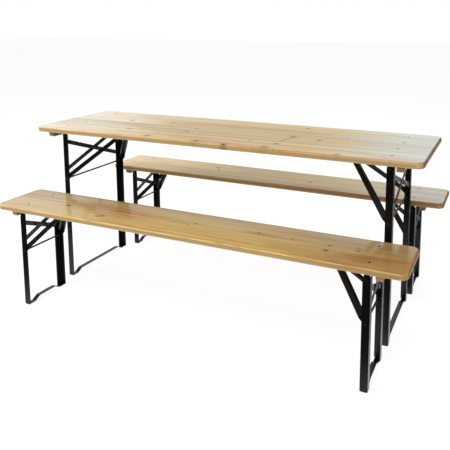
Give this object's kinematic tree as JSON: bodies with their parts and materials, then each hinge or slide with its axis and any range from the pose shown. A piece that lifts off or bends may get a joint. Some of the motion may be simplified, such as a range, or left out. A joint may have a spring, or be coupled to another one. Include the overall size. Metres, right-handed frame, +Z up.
{
  "type": "folding garden table with benches",
  "caption": "Trestle garden table and matching benches of pine boards on folding black angle-steel leg frames with V struts.",
  "frame": {"origin": "middle of the whole set's footprint, on the floor", "axes": "+X along the boards, towards the right end; +Y from the near bench to the far bench; +Z up"},
  "size_m": [1.821, 1.053, 0.75],
  "materials": {
    "black_steel": "glossy black paint",
    "pine_boards": "clear lacquered pine",
    "pine_battens": "clear lacquered pine"
  },
  "bodies": {
    "table": {"table_top": "pine_boards", "table_left_batten": "pine_battens", "table_left_hinge_bar": "black_steel", "table_left_catch": "black_steel", "table_right_batten": "pine_battens", "table_right_hinge_bar": "black_steel", "table_right_catch": "black_steel"},
    "near_bench": {"near_bench_top": "pine_boards", "near_bench_left_batten": "pine_battens", "near_bench_left_hinge_bar": "black_steel", "near_bench_left_catch": "black_steel", "near_bench_right_batten": "pine_battens", "near_bench_right_hinge_bar": "black_steel", "near_bench_right_catch": "black_steel"},
    "far_bench": {"far_bench_top": "pine_boards", "far_bench_left_batten": "pine_battens", "far_bench_left_hinge_bar": "black_steel", "far_bench_left_catch": "black_steel", "far_bench_right_batten": "pine_battens", "far_bench_right_hinge_bar": "black_steel", "far_bench_right_catch": "black_steel"},
    "table_left_legs": {"table_left_leg_frame": "black_steel", "table_left_brace_inner": "black_steel", "table_left_brace_outer": "black_steel", "table_left_pivot_rod": "black_steel"},
    "table_left_struts": {"table_left_strut_front": "black_steel", "table_left_strut_back": "black_steel"},
    "table_right_legs": {"table_right_leg_frame": "black_steel", "table_right_brace_inner": "black_steel", "table_right_brace_outer": "black_steel", "table_right_pivot_rod": "black_steel"},
    "table_right_struts": {"table_right_strut_front": "black_steel", "table_right_strut_back": "black_steel"},
    "near_bench_left_legs": {"near_bench_left_leg_frame": "black_steel", "near_bench_left_brace_inner": "black_steel", "near_bench_left_brace_outer": "black_steel", "near_bench_left_pivot_rod": "black_steel"},
    "near_bench_left_struts": {"near_bench_left_strut_front": "black_steel", "near_bench_left_strut_back": "black_steel"},
    "near_bench_right_legs": {"near_bench_right_leg_frame": "black_steel", "near_bench_right_brace_inner": "black_steel", "near_bench_right_brace_outer": "black_steel", "near_bench_right_pivot_rod": "black_steel"},
    "near_bench_right_struts": {"near_bench_right_strut_front": "black_steel", "near_bench_right_strut_back": "black_steel"},
    "far_bench_left_legs": {"far_bench_left_leg_frame": "black_steel", "far_bench_left_brace_inner": "black_steel", "far_bench_left_brace_outer": "black_steel", "far_bench_left_pivot_rod": "black_steel"},
    "far_bench_left_struts": {"far_bench_left_strut_front": "black_steel", "far_bench_left_strut_back": "black_steel"},
    "far_bench_right_legs": {"far_bench_right_leg_frame": "black_steel", "far_bench_right_brace_inner": "black_steel", "far_bench_right_brace_outer": "black_steel", "far_bench_right_pivot_rod": "black_steel"},
    "far_bench_right_struts": {"far_bench_right_strut_front": "black_steel", "far_bench_right_strut_back": "black_steel"}
  },
  "joints": [
    {"name": "near_bench_slide", "type": "slide", "parent": "table", "child": "near_bench", "axis": [0, -1, 0], "range_m": [0, 0.25]},
    {"name": "far_bench_slide", "type": "slide", "parent": "table", "child": "far_bench", "axis": [0, 1, 0], "range_m": [0, 0.25]},
    {"name": "table_left_leg_fold", "type": "hinge", "parent": "table", "child": "table_left_legs", "pos_m": [-0.7815, 0.0175, 0.705], "axis": [0, -1, 0], "range_deg": [0, 90]},
    {"name": "table_left_strut_fold", "type": "hinge", "parent": "table_left_legs", "child": "table_left_struts", "pos_m": [-0.7815, 0.0175, 0.494], "axis": [0, 1, 0], "range_deg": [0, 135.96]},
    {"name": "table_right_leg_fold", "type": "hinge", "parent": "table", "child": "table_right_legs", "pos_m": [0.7605, 0.0175, 0.705], "axis": [0, 1, 0], "range_deg": [0, 90]},
    {"name": "table_right_strut_fold", "type": "hinge", "parent": "table_right_legs", "child": "table_right_struts", "pos_m": [0.7605, 0.0175, 0.494], "axis": [0, -1, 0], "range_deg": [0, 135.96]},
    {"name": "near_bench_left_leg_fold", "type": "hinge", "parent": "near_bench", "child": "near_bench_left_legs", "pos_m": [-0.7535, -0.3965, 0.405], "axis": [0, -1, 0], "range_deg": [0, 90]},
    {"name": "near_bench_left_strut_fold", "type": "hinge", "parent": "near_bench_left_legs", "child": "near_bench_left_struts", "pos_m": [-0.7535, -0.3965, 0.25], "axis": [0, 1, 0], "range_deg": [0, 139.3]},
    {"name": "near_bench_right_leg_fold", "type": "hinge", "parent": "near_bench", "child": "near_bench_right_legs", "pos_m": [0.7545, -0.3965, 0.405], "axis": [0, 1, 0], "range_deg": [0, 90]},
    {"name": "near_bench_right_strut_fold", "type": "hinge", "parent": "near_bench_right_legs", "child": "near_bench_right_struts", "pos_m": [0.7545, -0.3965, 0.25], "axis": [0, -1, 0], "range_deg": [0, 139.3]},
    {"name": "far_bench_left_leg_fold", "type": "hinge", "parent": "far_bench", "child": "far_bench_left_legs", "pos_m": [-0.7335, 0.3965, 0.405], "axis": [0, -1, 0], "range_deg": [0, 90]},
    {"name": "far_bench_left_strut_fold", "type": "hinge", "parent": "far_bench_left_legs", "child": "far_bench_left_struts", "pos_m": [-0.7335, 0.3965, 0.25], "axis": [0, 1, 0], "range_deg": [0, 139.3]},
    {"name": "far_bench_right_leg_fold", "type": "hinge", "parent": "far_bench", "child": "far_bench_right_legs", "pos_m": [0.7745, 0.3965, 0.405], "axis": [0, 1, 0], "range_deg": [0, 90]},
    {"name": "far_bench_right_strut_fold", "type": "hinge", "parent": "far_bench_right_legs", "child": "far_bench_right_struts", "pos_m": [0.7745, 0.3965, 0.25], "axis": [0, -1, 0], "range_deg": [0, 139.3]}
  ],
  "couplings": [
    {"joint": "table_left_strut_fold", "follows": "table_left_leg_fold", "ratio": 1.5101},
    {"joint": "table_right_strut_fold", "follows": "table_right_leg_fold", "ratio": 1.5101},
    {"joint": "near_bench_left_strut_fold", "follows": "near_bench_left_leg_fold", "ratio": 1.5472},
    {"joint": "near_bench_right_strut_fold", "follows": "near_bench_right_leg_fold", "ratio": 1.5472},
    {"joint": "far_bench_left_strut_fold", "follows": "far_bench_left_leg_fold", "ratio": 1.5472},
    {"joint": "far_bench_right_strut_fold", "follows": "far_bench_right_leg_fold", "ratio": 1.5472}
  ]
}
